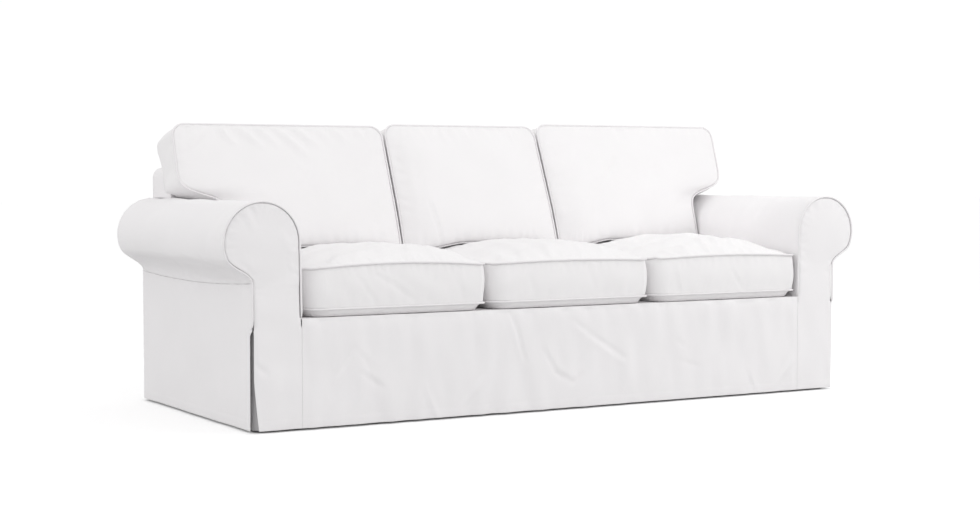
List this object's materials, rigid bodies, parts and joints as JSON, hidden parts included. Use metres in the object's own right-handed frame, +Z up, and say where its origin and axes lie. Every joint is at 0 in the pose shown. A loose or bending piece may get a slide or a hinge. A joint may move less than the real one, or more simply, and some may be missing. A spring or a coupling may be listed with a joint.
{
  "type": "sofa slipcover",
  "caption": "Loose white cotton sofa slipcover with rolled arms, piped box cushions, a floor-length skirt and open corner slits; hollow, open at the floor.",
  "frame": {"origin": "centre of the footprint, at the hem", "axes": "+Z up; the front of the sofa faces -Y; +X along the sofa's length, to the viewer's right"},
  "size_m": [2.185, 0.8651, 0.8557],
  "materials": {
    "cover_cloth": "washed white cotton, plain weave, matte",
    "cushion_cloth": "the same white cotton, stretched over filled cushions, matte",
    "piping_cord": "white cotton over a thin cord, matte",
    "underlay_cloth": "white cotton in shade, matte"
  },
  "bodies": {
    "root": {"arm_front_left": "cover_cloth", "arm_front_right": "cover_cloth", "arm_piping_left": "piping_cord", "arm_piping_right": "piping_cord", "arm_roll_left": "cover_cloth", "arm_roll_right": "cover_cloth", "side_panel_left": "cover_cloth", "side_panel_right": "cover_cloth", "arm_back_left": "cover_cloth", "arm_back_right": "cover_cloth", "underlay_front_left": "underlay_cloth", "underlay_front_right": "underlay_cloth", "underlay_rear_left": "underlay_cloth", "underlay_rear_right": "underlay_cloth", "front_skirt": "cover_cloth", "seat_deck": "underlay_cloth", "inside_back": "cover_cloth", "back_band": "cover_cloth", "outside_back": "cover_cloth", "seat_cushion_left": "cushion_cloth", "seat_piping_top_left": "piping_cord", "seat_piping_base_left": "piping_cord", "back_cushion_left": "cushion_cloth", "back_piping_left": "piping_cord", "seat_cushion_middle": "cushion_cloth", "seat_piping_top_middle": "piping_cord", "seat_piping_base_middle": "piping_cord", "back_cushion_middle": "cushion_cloth", "back_piping_middle": "piping_cord", "seat_cushion_right": "cushion_cloth", "seat_piping_top_right": "piping_cord", "seat_piping_base_right": "piping_cord", "back_cushion_right": "cushion_cloth", "back_piping_right": "piping_cord"}
  },
  "joints": []
}
